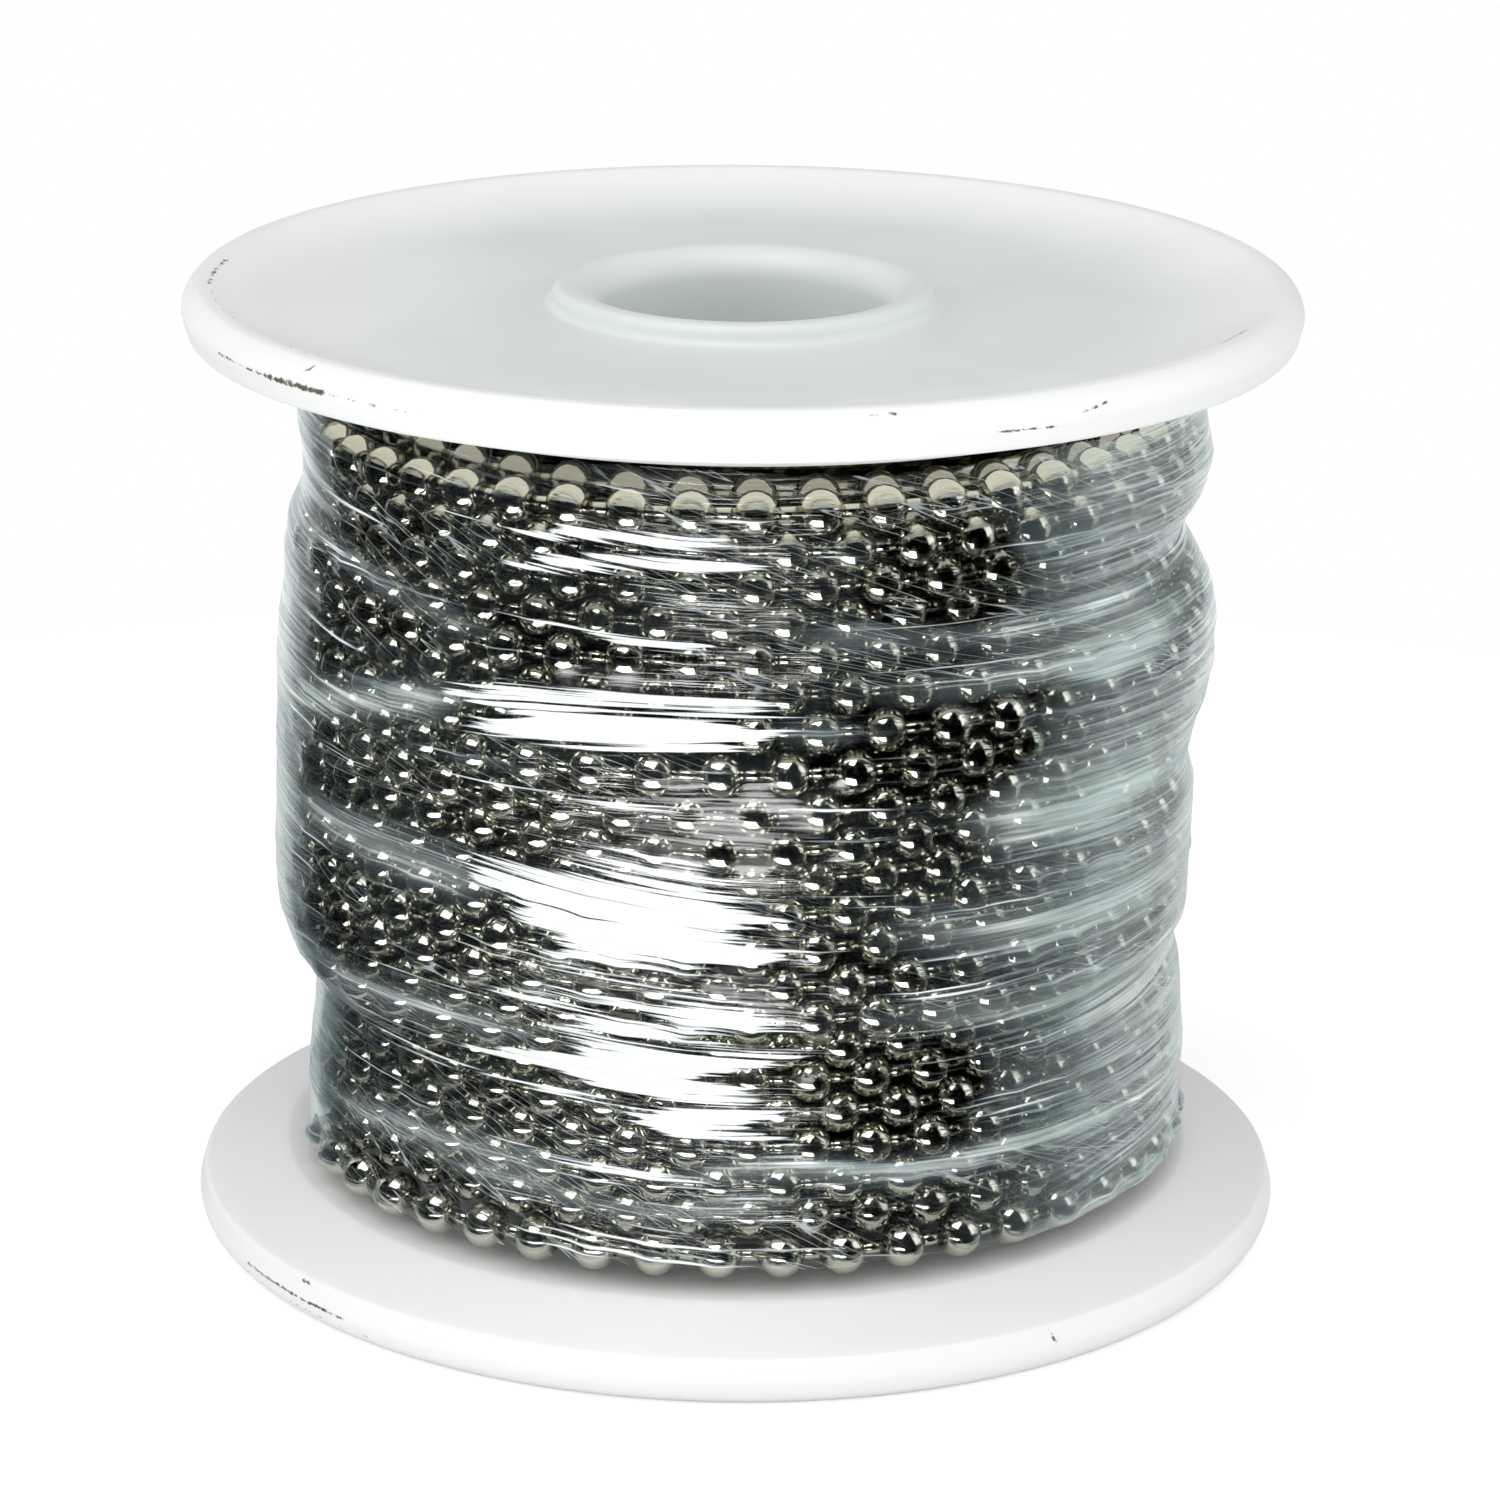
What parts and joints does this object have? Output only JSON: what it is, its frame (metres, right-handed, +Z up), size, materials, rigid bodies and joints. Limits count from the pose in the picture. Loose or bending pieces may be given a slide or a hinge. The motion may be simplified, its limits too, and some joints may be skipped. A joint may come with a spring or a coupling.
{
  "type": "roller blind chain reel",
  "caption": "Reel of nickel-plated metal ball chain for roller blinds, wound between two round white flanges and held by clear stretch film.",
  "frame": {"origin": "middle of the plane that the reel stands on, on the axis of its bore", "axes": "+Z up along the reel's bore; -Y faces the viewer in the picture; +X to the viewer's right"},
  "size_m": [0.11, 0.11, 0.0964],
  "materials": {
    "white_plastic": "moulded satin white plastic with light scuffs",
    "nickel_chain": "bright nickel plating on steel beads, slightly warm",
    "clear_film": "clear glossy stretch film with stretch lines and a pale haze"
  },
  "bodies": {
    "root": {"reel_upper_half": "white_plastic", "reel_lower_half": "white_plastic", "wound_chain": "nickel_chain", "stretch_film": "clear_film"}
  },
  "joints": []
}
